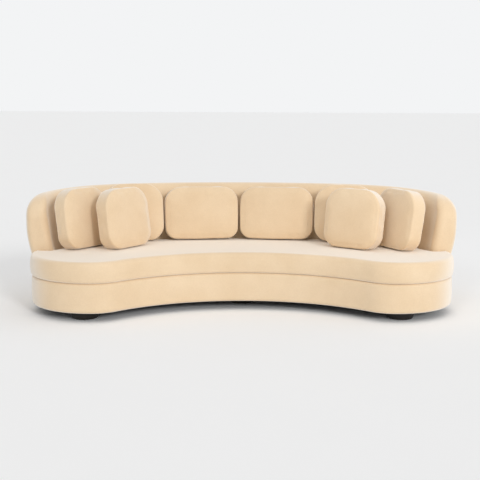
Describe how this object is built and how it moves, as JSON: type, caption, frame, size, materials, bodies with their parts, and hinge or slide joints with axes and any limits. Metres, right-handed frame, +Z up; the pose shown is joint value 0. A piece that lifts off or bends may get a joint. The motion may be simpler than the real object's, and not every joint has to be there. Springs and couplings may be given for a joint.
{
  "type": "sofa",
  "caption": "Curved kidney-shaped sofa with a plinth base, one bench seat cushion, a wrap-around back and loose rounded cushions, in cream velvet.",
  "frame": {"origin": "floor level under the middle of the overall box", "axes": "+Z up, the sofa faces -Y, +X to the right seen from the front"},
  "size_m": [2.9624, 1.2951, 0.8212],
  "materials": {
    "velvet": "soft pile",
    "foam": "open-cell foam",
    "fibre_filling": "fibre wadding",
    "webbing": "woven elastic",
    "deck_cloth": "woven cloth",
    "dust_cloth": "non-woven cloth",
    "felt": "felt",
    "zinc_steel": "zinc plated",
    "dark_wood": "dark stained satin",
    "plywood": "raw birch plywood"
  },
  "bodies": {
    "frame": {"back_bolts": "zinc_steel", "back_bottom_rail": "plywood", "back_cover": "velvet", "back_foam": "foam", "back_posts": "plywood", "back_top_rail": "plywood", "base_cover": "velvet", "base_foam_front": "foam", "base_foam_rear": "foam", "base_wall_front": "plywood", "base_wall_rear": "plywood", "bottom_panel_centre": "plywood", "bottom_panel_left": "plywood", "bottom_panel_right": "plywood", "deck_cloth": "deck_cloth", "dust_cover": "dust_cloth", "foot_front_left": "dark_wood", "foot_front_right": "dark_wood", "foot_glides": "felt", "foot_mid_centre": "dark_wood", "foot_rear_centre": "dark_wood", "foot_rear_left": "dark_wood", "foot_rear_right": "dark_wood", "foot_studs": "zinc_steel", "rib_1": "plywood", "rib_2": "plywood", "rib_3": "plywood", "rib_4": "plywood", "rib_5": "plywood", "rib_6": "plywood", "seat_webbing": "webbing", "tee_nuts": "zinc_steel", "top_panel_front": "plywood", "top_panel_left": "plywood", "top_panel_rear": "plywood", "top_panel_right": "plywood"},
    "seat": {"seat_core": "foam", "seat_cover": "velvet", "seat_wadding": "fibre_filling"},
    "left_end_cushion": {"left_end_cushion_cover": "velvet", "left_end_cushion_filling": "fibre_filling"},
    "left_front_cushion": {"left_front_cushion_cover": "velvet", "left_front_cushion_filling": "fibre_filling"},
    "left_inner_cushion": {"left_inner_cushion_cover": "velvet", "left_inner_cushion_filling": "fibre_filling"},
    "centre_left_cushion": {"centre_left_cushion_cover": "velvet", "centre_left_cushion_filling": "fibre_filling"},
    "centre_right_cushion": {"centre_right_cushion_cover": "velvet", "centre_right_cushion_filling": "fibre_filling"},
    "right_inner_cushion": {"right_inner_cushion_cover": "velvet", "right_inner_cushion_filling": "fibre_filling"},
    "right_front_cushion": {"right_front_cushion_cover": "velvet", "right_front_cushion_filling": "fibre_filling"},
    "right_end_cushion": {"right_end_cushion_cover": "velvet", "right_end_cushion_filling": "fibre_filling"}
  },
  "joints": [
    {"name": "seat_lift", "type": "slide", "parent": "frame", "child": "seat", "axis": [0, 0, 1], "range_m": [0, 0.3]},
    {"name": "left_end_cushion_lift", "type": "slide", "parent": "seat", "child": "left_end_cushion", "axis": [-0.1225, 0.0827, 0.989], "range_m": [0, 0.45]},
    {"name": "left_front_cushion_lift", "type": "slide", "parent": "seat", "child": "left_front_cushion", "axis": [-0.118, 0.089, 0.989], "range_m": [0, 0.45]},
    {"name": "left_inner_cushion_lift", "type": "slide", "parent": "seat", "child": "left_inner_cushion", "axis": [-0.037, 0.1431, 0.989], "range_m": [0, 0.45]},
    {"name": "centre_left_cushion_lift", "type": "slide", "parent": "seat", "child": "centre_left_cushion", "axis": [-0.018, 0.1467, 0.989], "range_m": [0, 0.45]},
    {"name": "centre_right_cushion_lift", "type": "slide", "parent": "seat", "child": "centre_right_cushion", "axis": [0.018, 0.1467, 0.989], "range_m": [0, 0.45]},
    {"name": "right_inner_cushion_lift", "type": "slide", "parent": "seat", "child": "right_inner_cushion", "axis": [0.037, 0.1431, 0.989], "range_m": [0, 0.45]},
    {"name": "right_front_cushion_lift", "type": "slide", "parent": "seat", "child": "right_front_cushion", "axis": [0.091, 0.1165, 0.989], "range_m": [0, 0.45]},
    {"name": "right_end_cushion_lift", "type": "slide", "parent": "seat", "child": "right_end_cushion", "axis": [0.1317, 0.0671, 0.989], "range_m": [0, 0.45]}
  ]
}
